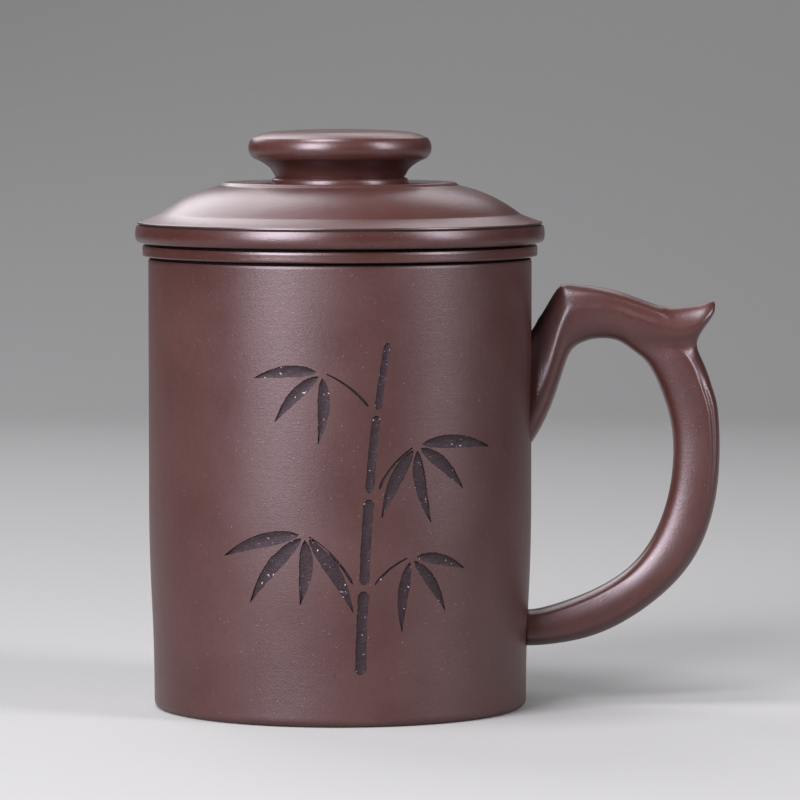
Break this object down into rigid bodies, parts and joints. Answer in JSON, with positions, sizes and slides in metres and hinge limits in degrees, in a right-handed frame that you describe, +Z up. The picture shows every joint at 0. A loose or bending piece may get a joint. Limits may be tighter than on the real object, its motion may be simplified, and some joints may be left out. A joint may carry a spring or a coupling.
{
  "type": "tea cup",
  "caption": "Covered clay tea cup: straight tapered wall, loop handle with a thumb spur, lift-out strainer liner and lift-off domed lid with a knob.",
  "frame": {"origin": "on the cup's axis, in the plane of the foot ring that it stands on", "axes": "+Z up along the cup's axis, +X towards the handle, +Y to the back of the pictured view"},
  "size_m": [0.1299, 0.0908, 0.1282],
  "materials": {
    "clay": "unglazed purple-brown clay, burnished satin"
  },
  "bodies": {
    "cup": {"cup_body": "clay", "handle": "clay"},
    "liner": {"strainer_liner": "clay"},
    "cover": {"lid": "clay", "lid_collar": "clay", "knob": "clay"}
  },
  "joints": [
    {"name": "infuser_lift", "type": "slide", "parent": "cup", "child": "liner", "axis": [0, 0, 1], "range_m": [0, 0.09]},
    {"name": "lid_lift", "type": "slide", "parent": "liner", "child": "cover", "axis": [0, 0, 1], "range_m": [0, 0.05]}
  ]
}
